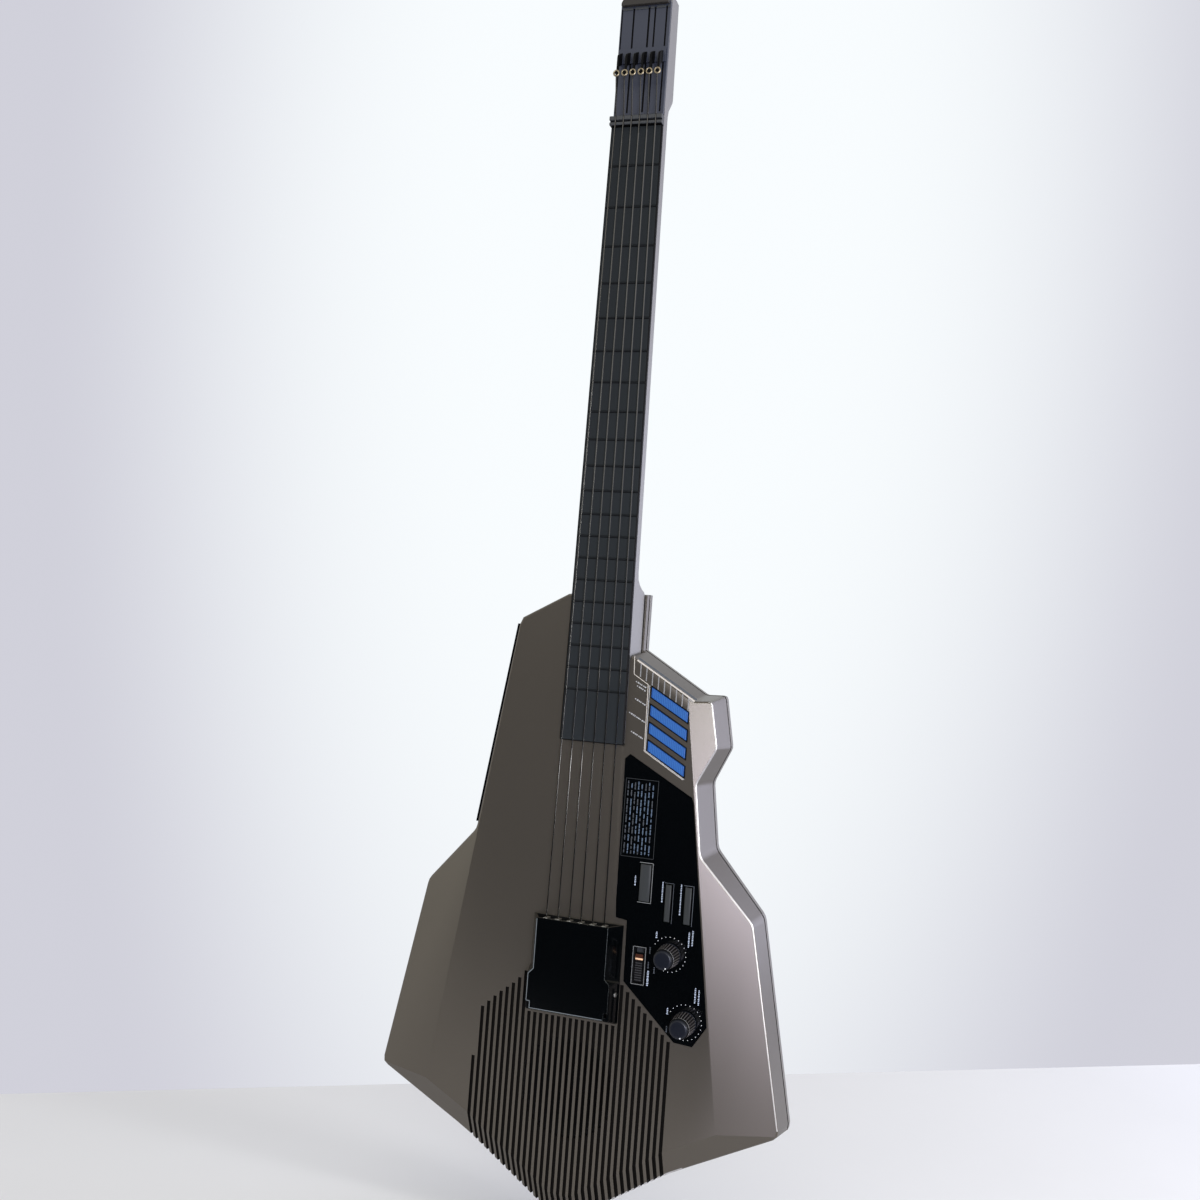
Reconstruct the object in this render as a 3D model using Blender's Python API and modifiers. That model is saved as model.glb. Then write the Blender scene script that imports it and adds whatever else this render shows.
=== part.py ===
"""Digital guitar: moulded body, rubber fingerboard neck, headless string carrier.

Lengths below are millimetres in the drawing frame of the instrument: X to the
right of the player-side view, Y into the body (0 = top of the fingerboard),
Z up the neck (0 = nut).  The part frame is metres, moved so that its origin is
the back of the neck where a stand's yoke holds it.
"""
import bpy
import bmesh
import math
from mathutils import Vector, Matrix

# ---------------------------------------------------------------- dimensions
MM = 0.001
OX, OY, OZ = 0.0, -24.0, 280.0      # drawing frame -> part frame, mm
SCALE_LENGTH = 648.0                # nut to bridge
FACE_Y = 3.0                        # front face of the body
WALL_END_Y = 39.7                   # rear edge of the front shell's outer wall
SEAM_Y = 40.9                       # rear edge of the recessed lip behind it
BACK_Y = 57.0                       # flat back
WALL = 3.0
DRAFT = 0.12                        # side wall draft, mm per mm
CREASE_SLOPE = 0.244                # side facets
BEVEL_SLOPE = 0.60                  # bottom bevels
NECK_W0, NECK_W1, NECK_L = 21.93, 27.3, 508.0
FRET_COUNT = 20
PAD_PITCH = 14.27
KNOBS = {"main": (77.4, -669.7), "rhythm": (93.8, -720.2)}
SPEAKER = (0.0, -788.0)
GRILLE_PITCH = 5.14
GRILLE_X = -0.8                     # middle groove
STRINGS = 6

# outline of the body at Y = 42, clockwise seen from the front: (x, z, corner radius)
OUTLINE = [
    (29, -386, 0), (29, -432.1, 0), (83.3, -464.8, 3), (99.5, -464.2, 5),
    (107, -506, 4), (93.7, -535, 5), (100.8, -588.5, 6), (143.5, -637.5, 6),
    (175, -801, 9), (87.5, -845.8, 5), (14, -894.5, 4), (-14, -894.5, 4),
    (-87.5, -845.8, 5), (-175, -801, 9), (-143.5, -637.5, 6),
    (-100.5, -588.5, 6), (-75.5, -417, 0), (-72, -409, 0), (-31, -386, 0)]

# ------------------------------------------------------------------- set-up
for ob in list(bpy.data.objects):
    bpy.data.objects.remove(ob, do_unlink=True)

scene = bpy.context.scene
PARTS = bpy.data.collections.new("digital_guitar")
CUTTERS = bpy.data.collections.new("cutters")
scene.collection.children.link(PARTS)
scene.collection.children.link(CUTTERS)


def mat(name, colour, rough, metal=0.0):
    m = bpy.data.materials.new(name)
    m.use_nodes = True
    b = m.node_tree.nodes["Principled BSDF"]
    b.inputs["Base Color"].default_value = (*colour, 1.0)
    b.inputs["Roughness"].default_value = rough
    b.inputs["Metallic"].default_value = metal
    return m


GREY = mat("body_grey", (0.085, 0.078, 0.070), 0.42, 0.25)
NECKGREY = mat("neck_grey", (0.35, 0.34, 0.34), 0.45, 0.1)
RUBBER = mat("fingerboard_rubber", (0.035, 0.038, 0.042), 0.7)
GLOSS = mat("gloss_black", (0.012, 0.013, 0.016), 0.18)
MATTE = mat("matte_black", (0.02, 0.02, 0.022), 0.55)
BLUE = mat("pad_blue", (0.03, 0.12, 0.46), 0.45)
KEY = mat("key_grey", (0.07, 0.072, 0.075), 0.4)
STEEL = mat("string_steel", (0.62, 0.62, 0.6), 0.28, 1.0)
BRASS = mat("brass", (0.72, 0.48, 0.18), 0.3, 1.0)
NYLON = mat("string_nylon", (0.03, 0.03, 0.03), 0.3)
BOARD = mat("circuit_board", (0.03, 0.12, 0.06), 0.5)
PAPER = mat("cone_paper", (0.03, 0.03, 0.03), 0.85)
FERRITE = mat("ferrite", (0.05, 0.05, 0.05), 0.6)
ALU = mat("aluminium", (0.6, 0.6, 0.6), 0.4, 1.0)


def P(x, y, z):
    return Vector(((x + OX) * MM, (y + OY) * MM, (z + OZ) * MM))


# ------------------------------------------------------------ outline tools
def offset(poly, d):
    """Outline moved outward by d (mitred); poly runs clockwise in X, Z."""
    out = []
    n = len(poly)
    for i in range(n):
        a, b, c = Vector(poly[i - 1][:2]), Vector(poly[i][:2]), Vector(poly[(i + 1) % n][:2])
        u, v = (b - a).normalized(), (c - b).normalized()
        nu, nv = Vector((-u.y, u.x)), Vector((-v.y, v.x))
        k = nu + nv
        k = k / max(0.2, k.dot(nu))
        q = b + k * d
        out.append((q.x, q.y) + tuple(poly[i][2:]))
    return out


def rounded(poly, seg=2):
    out = []
    n = len(poly)
    for i in range(n):
        b = Vector(poly[i][:2])
        r = poly[i][2] if len(poly[i]) > 2 else 0
        if r <= 0:
            out.append((b.x, b.y))
            continue
        u = (Vector(poly[i - 1][:2]) - b).normalized()
        v = (Vector(poly[(i + 1) % n][:2]) - b).normalized()
        p0, p1 = b + u * r * 0.6, b + v * r * 0.6
        for k in range(seg + 1):
            t = k / seg
            q = p0 * (1 - t) ** 2 + b * 2 * t * (1 - t) + p1 * t ** 2
            out.append((q.x, q.y))
    return out


def neck_w(z):
    return NECK_W0 + (NECK_W1 - NECK_W0) * max(0.0, -z) / NECK_L


def crease_x(z):
    return 94.5 + 0.14 * (-589.6 - z)


# ------------------------------------------------------------- object tools
def link(name, mesh, material, origin=None, cutter=False, smooth=None):
    ob = bpy.data.objects.new(name, mesh)
    if origin is not None:
        o = P(*origin)
        mesh.transform(Matrix.Translation(-o))
        ob.location = o
    (CUTTERS if cutter else PARTS).objects.link(ob)
    if cutter:
        ob.hide_render = True
        ob.display_type = "WIRE"
    if material is not None:
        mesh.materials.append(material)
    if smooth:
        mesh.shade_smooth()
        mesh.set_sharp_from_angle(angle=math.radians(smooth))
    return ob


def mesh_of(bm, name):
    bmesh.ops.recalc_face_normals(bm, faces=bm.faces)
    me = bpy.data.meshes.new(name)
    bm.to_mesh(me)
    bm.free()
    return me


def loft(name, rings, material=None, **kw):
    """Closed skin through rings of equal length; points in drawing mm."""
    bm = bmesh.new()
    vs = [[bm.verts.new(P(*p)) for p in ring] for ring in rings]
    n = len(rings[0])
    for a, b in zip(vs[:-1], vs[1:]):
        for i in range(n):
            bm.faces.new((a[i], a[(i + 1) % n], b[(i + 1) % n], b[i]))
    bm.faces.new(vs[0])
    bm.faces.new(list(reversed(vs[-1])))
    return link(name, mesh_of(bm, name), material, **kw)


def plate(name, loops, y0, y1, material=None, **kw):
    """Flat outline in X, Z made as a filled 2D curve, then welded to a mesh."""
    cu = bpy.data.curves.new(name, "CURVE")
    cu.dimensions = "2D"
    cu.fill_mode = "BOTH"
    cu.extrude = abs(y1 - y0) / 2 * MM
    for loop in loops:
        sp = cu.splines.new("POLY")
        sp.points.add(len(loop) - 1)
        for p, q in zip(sp.points, loop):
            p.co = ((q[0] + OX) * MM, (q[1] + OZ) * MM, 0, 1)
        sp.use_cyclic_u = True
    tmp = bpy.data.objects.new(name + "_outline", cu)
    scene.collection.objects.link(tmp)
    dg = bpy.context.evaluated_depsgraph_get()
    me = bpy.data.meshes.new_from_object(tmp.evaluated_get(dg))
    bpy.data.objects.remove(tmp, do_unlink=True)
    me.transform(Matrix.Translation((0, ((y0 + y1) / 2 + OY) * MM, 0)) @ Matrix.Rotation(math.pi / 2, 4, "X"))
    bm = bmesh.new()
    bm.from_mesh(me)
    bmesh.ops.remove_doubles(bm, verts=bm.verts, dist=0.00001)
    if len(loops) == 1:
        bmesh.ops.dissolve_limit(bm, angle_limit=0.002, verts=bm.verts, edges=bm.edges)
    me2 = mesh_of(bm, name)
    return link(name, me2, material, **kw)


def boxes(name, spans, material=None, **kw):
    """One or more separate boxes ((x0,x1),(y0,y1),(z0,z1))."""
    bm = bmesh.new()
    for sx, sy, sz in spans:
        c = P((sx[0] + sx[1]) / 2, (sy[0] + sy[1]) / 2, (sz[0] + sz[1]) / 2)
        s = Vector((abs(sx[1] - sx[0]), abs(sy[1] - sy[0]), abs(sz[1] - sz[0]))) * MM
        bmesh.ops.create_cube(bm, size=1.0, matrix=Matrix.Translation(c) @ Matrix.Diagonal((*s, 1)))
    return link(name, mesh_of(bm, name), material, **kw)


AXES = {"-Y": Matrix.Rotation(math.pi / 2, 4, "X"),
        "+Y": Matrix.Rotation(-math.pi / 2, 4, "X"),
        "-X": Matrix.Rotation(-math.pi / 2, 4, "Y"),
        "-Z": Matrix.Rotation(math.pi, 4, "X"),
        "+Z": Matrix.Identity(4)}


def cylinder(name, centre, axis, r, length, seg=24, material=None, **kw):
    bm = bmesh.new()
    bmesh.ops.create_cone(bm, cap_ends=True, segments=seg, radius1=r * MM, radius2=r * MM,
                          depth=length * MM, matrix=Matrix.Translation(P(*centre)) @ AXES[axis])
    return link(name, mesh_of(bm, name), material, **kw)


def turned(name, base, axis, profile, material=None, steps=24, closed=False):
    """Profile of (radius, height) from top to bottom, spun about the axis."""
    me = bpy.data.meshes.new(name)
    n = len(profile)
    edges = [(i, i + 1) for i in range(n - 1)] + ([(n - 1, 0)] if closed else [])
    me.from_pydata([(r * MM, 0, h * MM) for r, h in profile], edges, [])
    ob = bpy.data.objects.new(name, me)
    ob.matrix_world = Matrix.Translation(P(*base)) @ AXES[axis]
    PARTS.objects.link(ob)
    me.materials.append(material)
    sc = ob.modifiers.new("spin", "SCREW")
    sc.steps = sc.render_steps = steps
    sc.use_merge_vertices = True
    sc.merge_threshold = 0.00001
    sc.use_smooth_shade = True
    return ob


def boolean(ob, cutter, op="DIFFERENCE", solver="EXACT"):
    m = ob.modifiers.new(op.lower(), "BOOLEAN")
    m.operation = op
    m.object = cutter
    m.solver = solver
    return ob


def ring_at(poly, y):
    return [(p[0], y, p[1]) for p in poly]


# --------------------------------------------------------------- body shells
K1, K2, K3 = (124.0, -801.5), (88.0, -820.5), (8.5, -872.2)


def facet_cutters(tag, drop):
    out = []
    for s in (1, -1):
        za, zb = -360.0, -860.0
        rings = []
        for z in (za, zb):
            c = crease_x(z)
            rings.append([(s * (c - 20), FACE_Y + drop - CREASE_SLOPE * 20, z),
                          (s * (c + 120), FACE_Y + drop + CREASE_SLOPE * 120, z),
                          (s * (c + 120), -60, z), (s * (c - 20), -60, z)])
        out.append(loft(f"{tag}_side_{'r' if s > 0 else 'l'}", rings, cutter=True))
        # two sloping planes that meet in a mitre at K2
        k1, k2, k3 = (Vector((s * q[0], q[1])) for q in (K1, K2, K3))
        d1, d2 = (k2 - k1).normalized(), (k3 - k2).normalized()
        n1, n2 = (Vector((-s * d.y, s * d.x)) for d in (d1, d2))
        mitre = (n1 + n2) / (1 + n1.dot(n2))
        rings = []
        for q, n in ((k1 - d1 * 60, n1), (k2, mitre), (k3 + d2 * 60, n2)):
            i, o = q - n * 20, q + n * 110
            rings.append([(i.x, FACE_Y + drop - BEVEL_SLOPE * 20, i.y),
                          (o.x, FACE_Y + drop + BEVEL_SLOPE * 110, o.y),
                          (o.x, -60, o.y), (i.x, -60, i.y)])
        out.append(loft(f"{tag}_bevel_{'r' if s > 0 else 'l'}", rings, cutter=True))
    rings = []
    for x in (-70, 70):
        rings.append([(x, FACE_Y + drop - BEVEL_SLOPE * 20, -852.2),
                      (x, FACE_Y + drop + BEVEL_SLOPE * 60, -932.2),
                      (x, -60, -932.2), (x, -60, -852.2)])
    out.append(loft(f"{tag}_tip", rings, cutter=True))
    return out


P42 = [tuple(p) for p in OUTLINE]


def body_poly(off, seg=2):
    return rounded(offset(P42, off), seg)


front = loft("front_shell",
             [ring_at(body_poly(DRAFT * (FACE_Y - 42)), FACE_Y), ring_at(body_poly(DRAFT * (SEAM_Y - 42)), SEAM_Y)], GREY)
for c in facet_cutters("facet", 0.0):
    boolean(front, c)
cavity = loft("front_cavity",
              [ring_at(body_poly(DRAFT * (FACE_Y - 42) - WALL), FACE_Y + WALL),
               ring_at(body_poly(DRAFT * (SEAM_Y + 4 - 42) - WALL), SEAM_Y + 4)], cutter=True)
for c in facet_cutters("inner", 3.3):
    boolean(cavity, c)
boolean(front, cavity)

# recessed lip along the seam
boolean(front, plate("seam_recess", [offset(P42, 8), offset(P42, -1.35)], WALL_END_Y, 46, cutter=True))

# channel that the heel drops into; right of the neck the wall is cut low
boolean(front, plate("heel_channel", [[(-neck_w(-375) - 0.35, -370), (neck_w(-375) + 0.35, -370),
                                       (neck_w(-509.5) + 0.35, -509.6),
                                       (-neck_w(-509.5) - 0.35, -509.6)]], -20, 38.6, cutter=True))
boolean(front, plate("shoulder_cut", [[(20, -370), (44, -370), (44, -440.2), (31.5, -432.65), (29.6, -434.6),
                                       (27.6, -440), (20, -440)]], -20, 35.0, cutter=True))

PANEL = [(29.3, -519.7), (33.3, -516), (86.3, -545.3), (87.9, -549.2), (98, -623.7),
         (111.0, -721.3), (100.6, -737.7), (85.7, -736.7), (41.3, -695.7), (40.5, -647.6),
         (31.1, -646.3), (30.3, -632.9)]
panel_cut = plate("panel_window", [offset([tuple(p) for p in PANEL], 0.3)], -10, 12, cutter=True)
boolean(front, panel_cut)


def pad_poly(k, grow=0.0):
    zt = -461.0 - PAD_PITCH * k
    x0, x1 = 47.5, 78.3
    f = lambda x: -0.564 * (x - x0)
    return [(x0 - grow, zt + f(x0 - grow) + grow), (x1 + grow, zt + f(x1 + grow) + grow),
            (x1 + grow, zt - 8 + f(x1 + grow) - grow), (x0 - grow, zt - 8 + f(x0 - grow) - grow)]


pad_cut = plate("pad_windows", [pad_poly(k, 0.7) for k in range(4)], -10, 9, cutter=True)
boolean(front, pad_cut)

# speaker slots over the cone
slots = []
n_slot = 15
for i in range(n_slot):
    x = GRILLE_X + (i - (n_slot - 1) / 2) * GRILLE_PITCH
    h = math.sqrt(max(0.0, 40.0 ** 2 - x * x))
    slots.append(((x - 1.25, x + 1.25), (-5, 9), (SPEAKER[1] - h, SPEAKER[1] + h)))
boolean(front, boxes("speaker_slots", slots, cutter=True))

# socket windows in the left wall
SOCKETS = {"line_out_jack": (-450.0, 5.6, 3.25), "midi_out_socket": (-490.0, 8.2, 6.6), "dc_inlet": (-525.0, 5.0, 3.1)}
SOCKET_Y = 22.0


def wall_x(z, y, off=0.0):
    """Left upper wall between its two corners, moved outward by off."""
    x = -75.5 - (-417 - z) * (25.0 / 171.5)
    return x - (DRAFT * (y - 42) + off) / 0.9896


bm = bmesh.new()
for nm, (z, r, bore) in SOCKETS.items():
    bmesh.ops.create_cone(bm, cap_ends=True, segments=20, radius1=(r + 0.35) * MM, radius2=(r + 0.35) * MM,
                          depth=30 * MM, matrix=Matrix.Translation(P(wall_x(z, SOCKET_Y), SOCKET_Y, z)) @ AXES["-X"])
socket_cut = link("socket_windows", mesh_of(bm, "socket_windows"), None, cutter=True)
boolean(front, socket_cut)

rear = loft("rear_shell", [ring_at(body_poly(0.1), SEAM_Y + 0.3), ring_at(body_poly(0.1), 47.5),
                           ring_at(body_poly(-9), BACK_Y)], GREY)
rear_cavity = loft("rear_cavity", [ring_at(body_poly(-WALL), SEAM_Y - 2), ring_at(body_poly(-WALL), 47.0),
                                   ring_at(body_poly(-9.5), BACK_Y - WALL)], cutter=True)
boolean(rear, rear_cavity)
DOOR = (-79.9, 8.0, -713.5, -600.5)
boolean(rear, boxes("battery_window", [((DOOR[0] - 0.5, DOOR[1] + 1.8), (50, 60), (DOOR[2] - 0.5, DOOR[3] + 0.5))],
                    cutter=True))
SCREWS = [(-52, -446), (60, -520), (-122, -764), (122, -764)]
bm = bmesh.new()
for x, z in SCREWS:
    bmesh.ops.create_cone(bm, cap_ends=True, segments=16, radius1=3.4 * MM, radius2=3.4 * MM, depth=20 * MM,
                          matrix=Matrix.Translation(P(x, 56, z)) @ AXES["+Y"])
boolean(rear, link("screw_holes", mesh_of(bm, "screw_holes"), None, cutter=True), solver="MANIFOLD")
for i, (x, z) in enumerate(SCREWS):
    turned(f"case_screw_{i + 1}", (x, 56.6, z), "+Y", [(0, 0), (3.0, 0), (3.0, -2.0), (1.7, -2.6), (1.7, -11), (0, -12)],
           STEEL, steps=12)

# ---------------------------------------------------------------------- neck
def neck_ring(z, w, yf, depth, square=0.0):
    """Section of the neck moulding; square 0 = round back, 1 = boxy."""
    a = 1 - 0.07 * (1 - square)
    b = 0.74 + 0.2 * square
    c = 0.42 + 0.4 * square
    e = depth - 24
    half = [(w, yf), (w, 13 + e * 0.98), (w * a, depth - 5.6 + square * 2), (w * b, depth - 1.8 + square * 0.8),
            (w * c, depth - 0.25)]
    return [(x, y, z) for x, y in half] + [(-x, y, z) for x, y in reversed(half)]


rings = [neck_ring(108, 20.0, 4.8, 26.5, 0.9), neck_ring(106.5, 21.5, 4.8, 27.2, 0.9), neck_ring(27, 21.5, 4.8, 30, 0.9),
         neck_ring(24.3, 21.5, 4.8, 29.5, 0.85), neck_ring(20, 21.5, 4.8, 27.5, 0.55), neck_ring(15.6, 21.5, 4.8, 25.5, 0.22),
         neck_ring(10, 21.6, 4.8, 24.5, 0.06), neck_ring(5.2, 21.85, 4.8, 24.1, 0), neck_ring(4.9, 21.85, 3.5, 24.1, 0)]
for z in (-370, ):
    rings.append(neck_ring(z, neck_w(z), 3.5, 24, 0))
for z, d, s in ((-375, 25.0, 0.1), (-379, 27.8, 0.3), (-382.5, 32.5, 0.6), (-384.5, 37.0, 0.85), (-386, 38.2, 0.9),
                (-508, 38.2, 0.9)):
    rings.append(neck_ring(z, neck_w(z), 3.5, d, s))
neck = loft("neck_shell", rings, NECKGREY, smooth=35)
inner = []
for z, w, d in ((101, 18.3, 24), (27, 18.3, 24), (8, 18.5, 20.3), (-378, neck_w(-378) - 3.2, 20.3),
                (-388, neck_w(-388) - 3.2, 33), (-504.5, neck_w(-504) - 3.2, 33)):
    half = [(w, -12), (w, 12 + (d - 20.3)), (w * 0.7, d - 1.5), (w * 0.35, d)]
    inner.append([(x, y, z) for x, y in half] + [(-x, y, z) for x, y in reversed(half)])
boolean(neck, loft("neck_channel", inner, cutter=True))

boxes("neck_core", [((-11, 11), (8, 17.5), (-500, 96))], ALU)
boxes("neck_switch_board", [((-17, 17), (4.2, 5.8), (-492, -8))], BOARD)

# fingerboard: one moulding with a low rib at each fret
frets = [SCALE_LENGTH * (1 - 2 ** (-n / 12)) for n in range(1, 13)]
last = frets[-1]
while len(frets) < FRET_COUNT:
    last += (467.1 - frets[11]) / (FRET_COUNT - 12)
    frets.append(last)
zs = [(-4.2, 0.0)]
for f in frets:
    zs += [(-(f - 1.1), 0.0), (-(f - 0.45), -0.7), (-(f + 0.45), -0.7), (-(f + 1.1), 0.0)]
zs.append((-508.8, 0.0))
rings = []
for z, y in zs:
    w = neck_w(z)
    rings.append([(-w, 3.2, z), (-w, 0.5, z), (-w + 1.2, y, z), (w - 1.2, y, z), (w, 0.5, z), (w, 3.2, z)])
loft("fingerboard", rings, RUBBER)


def string_x(i, z):
    s = 6.88 + (9.88 - 6.88) * (-z) / SCALE_LENGTH
    return (i - 2.5) * s


def across(name, prof, half, material=None, **kw):
    """Outline in Y, Z drawn across the neck from -half to half."""
    return loft(name, [[(x, y, z) for y, z in prof] for x in (-half, half)], material, **kw)


nut = across("nut", [(3.2, 3.8), (-4.4, 3.8), (-5.0, 3.2), (-5.0, 0.4), (-2.6, 0.1), (-2.6, -1.2), (-4.4, -1.4),
                     (-4.4, -3.1), (-3.9, -3.6), (3.2, -3.8)], 22.4, MATTE)
boolean(nut, boxes("nut_slots", [((string_x(i, 0) - 0.65, string_x(i, 0) + 0.65), (-8, -3.5), (-6, 8))
                                 for i in range(STRINGS)], cutter=True))

plate("head_cover", [[(-21.4, 5.5), (-21.4, 97), (-21.4, 99), (-17, 108), (17, 108), (21.4, 99), (21.4, 5.5)]],
      1.5, 4.5, GLOSS)
plate("head_top_bar", [[(-20.4, 97), (-20.4, 99.5), (-16.6, 107.2), (16.6, 107.2), (20.4, 99.5), (20.4, 97)]],
      -2.6, 1.2, GLOSS)
hook_plate = boxes("string_hook_plate", [((-20.4, 20.4), (0.0, 1.2), (49, 61.5))], MATTE)
bm = bmesh.new()
RING_Y, RING_Z, RING_PITCH = -9.9, 37.0, 7.0
for i in range(STRINGS):
    x = (i - 2.5) * RING_PITCH
    prof = [(0.8, 58.5), (-5.6, 54.8), (-7.6, 53.2), (-8.4, 51.0), (-8.4, RING_Z + 0.7), (-11.8, RING_Z + 0.7),
            (-11.8, RING_Z - 0.7), (-7.0, RING_Z - 0.7), (-7.0, 43.6), (0.8, 48.6)]
    a = [bm.verts.new(P(x - 0.9, y, z)) for y, z in prof]
    f = bm.faces.new(a)
    r = bmesh.ops.extrude_face_region(bm, geom=[f])
    bmesh.ops.translate(bm, verts=[v for v in r["geom"] if isinstance(v, bmesh.types.BMVert)], vec=(1.8 * MM, 0, 0))
hooks = link("hook_arms", mesh_of(bm, "hook_arms"), None, cutter=True)
boolean(hook_plate, hooks, "UNION")

BRIDGE_END = -652.3
for i in range(STRINGS):
    xr = (i - 2.5) * RING_PITCH
    pts = [(xr, RING_Y, RING_Z - 2.3), (string_x(i, 0), -4.3, 3.0), (string_x(i, -650) , -6.2, BRIDGE_END)]
    cu = bpy.data.curves.new(f"string_{i + 1}", "CURVE")
    cu.dimensions = "3D"
    cu.bevel_depth = 0.52 * MM
    cu.bevel_resolution = 1
    cu.use_fill_caps = True
    sp = cu.splines.new("POLY")
    sp.points.add(len(pts) - 1)
    for p, q in zip(sp.points, pts):
        p.co = (*P(*q), 1)
    tmp = bpy.data.objects.new("wire", cu)
    scene.collection.objects.link(tmp)
    dg = bpy.context.evaluated_depsgraph_get()
    me = bpy.data.meshes.new_from_object(tmp.evaluated_get(dg))
    bpy.data.objects.remove(tmp, do_unlink=True)
    bm = bmesh.new()
    bm.from_mesh(me)
    bmesh.ops.remove_doubles(bm, verts=bm.verts, dist=0.000002)
    me = mesh_of(bm, f"string_{i + 1}")
    me.materials.clear()
    wire = link(f"string_{i + 1}", me, NYLON)
    # ball-end ring: a small torus, its axis along Y
    bm = bmesh.new()
    N, M = 14, 6
    grid = [[bm.verts.new(P(xr + (2.15 + 0.7 * math.cos(v * 2 * math.pi / M)) * math.cos(u * 2 * math.pi / N),
                            RING_Y + 0.7 * math.sin(v * 2 * math.pi / M),
                            RING_Z + (2.15 + 0.7 * math.cos(v * 2 * math.pi / M)) * math.sin(u * 2 * math.pi / N)))
             for v in range(M)] for u in range(N)]
    for u in range(N):
        for v in range(M):
            bm.faces.new((grid[u][v], grid[(u + 1) % N][v], grid[(u + 1) % N][(v + 1) % M], grid[u][(v + 1) % M]))
    boolean(wire, link(f"ball_ring_{i + 1}", mesh_of(bm, f"ball_ring_{i + 1}"), BRASS, cutter=True), "UNION")

# -------------------------------------------------------------------- bridge
def bridge_ring(y, w1, w2, zt, zj, zb, cham):
    half = [(w1, zt), (w1, zj), (w2, zj - 4), (w2, zb + cham), (w2 - cham, zb)]
    return [(x, y, z) for x, z in half] + [(-x, y, z) for x, z in reversed(half)]


cover = loft("bridge_cover", [bridge_ring(-14, 30.4, 34.6, -652, -692.5, -724.9, 1), bridge_ring(2.7, 38.4, 38.6, -652, -692.8, -730.6, 1)],
             GLOSS)
boolean(cover, loft("cover_hollow", [bridge_ring(-12, 29, 32.8, -640, -692.8, -722.8, 1), bridge_ring(6, 37.8, 38.1, -640, -693.1, -729.6, 1)],
                    cutter=True))
boolean(cover, boxes("cover_corners", [((31.6, 45), (-20, -10.5), (-740, -718.8)), ((-45, -31.6), (-20, -10.5), (-740, -718.8))],
                     cutter=True))
bm = bmesh.new()
for s in (-1, 1):
    bmesh.ops.create_cone(bm, cap_ends=True, segments=12, radius1=2.4 * MM, radius2=2.4 * MM, depth=12 * MM,
                          matrix=Matrix.Translation(P(s * 36, -3, -706)) @ AXES["-X"])
boolean(cover, link("cover_screw_holes", mesh_of(bm, "cover_screw_holes"), None, cutter=True))
for s, nm in ((-1, "left"), (1, "right")):
    cylinder(f"cover_screw_{nm}", (s * 35.1, -3, -706), "-X", 2.05, 5.0, 12, STEEL)
boxes("bridge_base", [((-35.1, 35.1), (1.2, 2.7), (-726.5, -652.3))], MATTE)
anchor = boxes("string_anchor_bar", [((-29, 29), (-2.0, 0.9), (-680, -654.5))], ALU)
boolean(anchor, boxes("anchor_posts", [((string_x(i, -650) - 1.95, string_x(i, -650) + 1.95), (-8.6, -1), (-662, -652.6))
                                       for i in range(STRINGS)], cutter=True), "UNION")

# ------------------------------------------------------------- control panel
BUTTONS = {"mute_button": (48.0, 58.7, -631.6, -600.6), "rhythm_start_button": (69.8, 76.3, -645.0, -614.2),
           "fill_in_button": (85.7, 92.8, -645.0, -614.3)}
SWITCH = (47.4, 58.6, -696.6, -666.3)
panel = plate("control_panel", [[tuple(p) for p in PANEL]], 2.8, 5.8, GLOSS)
cuts = [((a, b), (-5, 12), (c, d)) for a, b, c, d in BUTTONS.values()]
cuts.append(((SWITCH[0] - 0.3, SWITCH[1] + 0.3), (-5, 12), (SWITCH[2] - 0.3, SWITCH[3] + 0.3)))
boolean(panel, boxes("panel_holes", cuts, cutter=True))
bm = bmesh.new()
for x, z in KNOBS.values():
    bmesh.ops.create_cone(bm, cap_ends=True, segments=20, radius1=4 * MM, radius2=4 * MM, depth=20 * MM,
                          matrix=Matrix.Translation(P(x, 4, z)) @ AXES["-Y"])
boolean(panel, link("shaft_holes", mesh_of(bm, "shaft_holes"), None, cutter=True))

for nm, (a, b, c, d) in BUTTONS.items():
    g = 0.9
    key = boxes(nm, [((a + g, b - g), (1.0, 10.0), (c + g, d - g))], KEY,
                origin=((a + b) / 2, 1.0, (c + d) / 2))
    bv = key.modifiers.new("edge", "BEVEL")
    bv.width = 0.0004
    bv.segments = 1

sw = boxes("power_switch_body", [(SWITCH[:2], (1.8, 11.0), SWITCH[2:])], MATTE)
boolean(sw, boxes("switch_slot", [((49.3, 56.7), (-2, 8.2), (-695.1, -667.4))], cutter=True))
slider = boxes("power_slider", [((49.8, 56.2), (2.3, 7.8), (-694.4, -672.4))], MATTE, origin=(53, 2.3, -683.4))

for nm, (x, z) in KNOBS.items():
    turned(f"{nm}_volume_pot", (x, 14.6, z), "-Y", [(0, 6.0), (5, 6.0), (5, 4.5), (8.5, 4.5), (8.5, 0), (0, 0)], ALU, steps=20)
    turned(f"{nm}_volume_knob", (x, 1.6, z), "-Y",
           [(0, 20.1), (7.3, 20.1), (8.0, 19.5), (9.5, 0), (3.2, 0), (3.2, -6.6), (0, -6.6)], MATTE, steps=28)

boxes("control_board", [((36, 92), (15.2, 16.8), (-728, -600))], BOARD)

for k in range(4):
    pad = plate(f"pad_{k + 1}", [pad_poly(k)], 1.5, 9.5, BLUE,
                origin=(62.9, 1.5, -461.0 - PAD_PITCH * k - 12.7))
plate("pad_board", [[(45, -457), (80, -476), (84, -531), (48, -514)]], 12.0, 13.6, BOARD)

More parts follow.
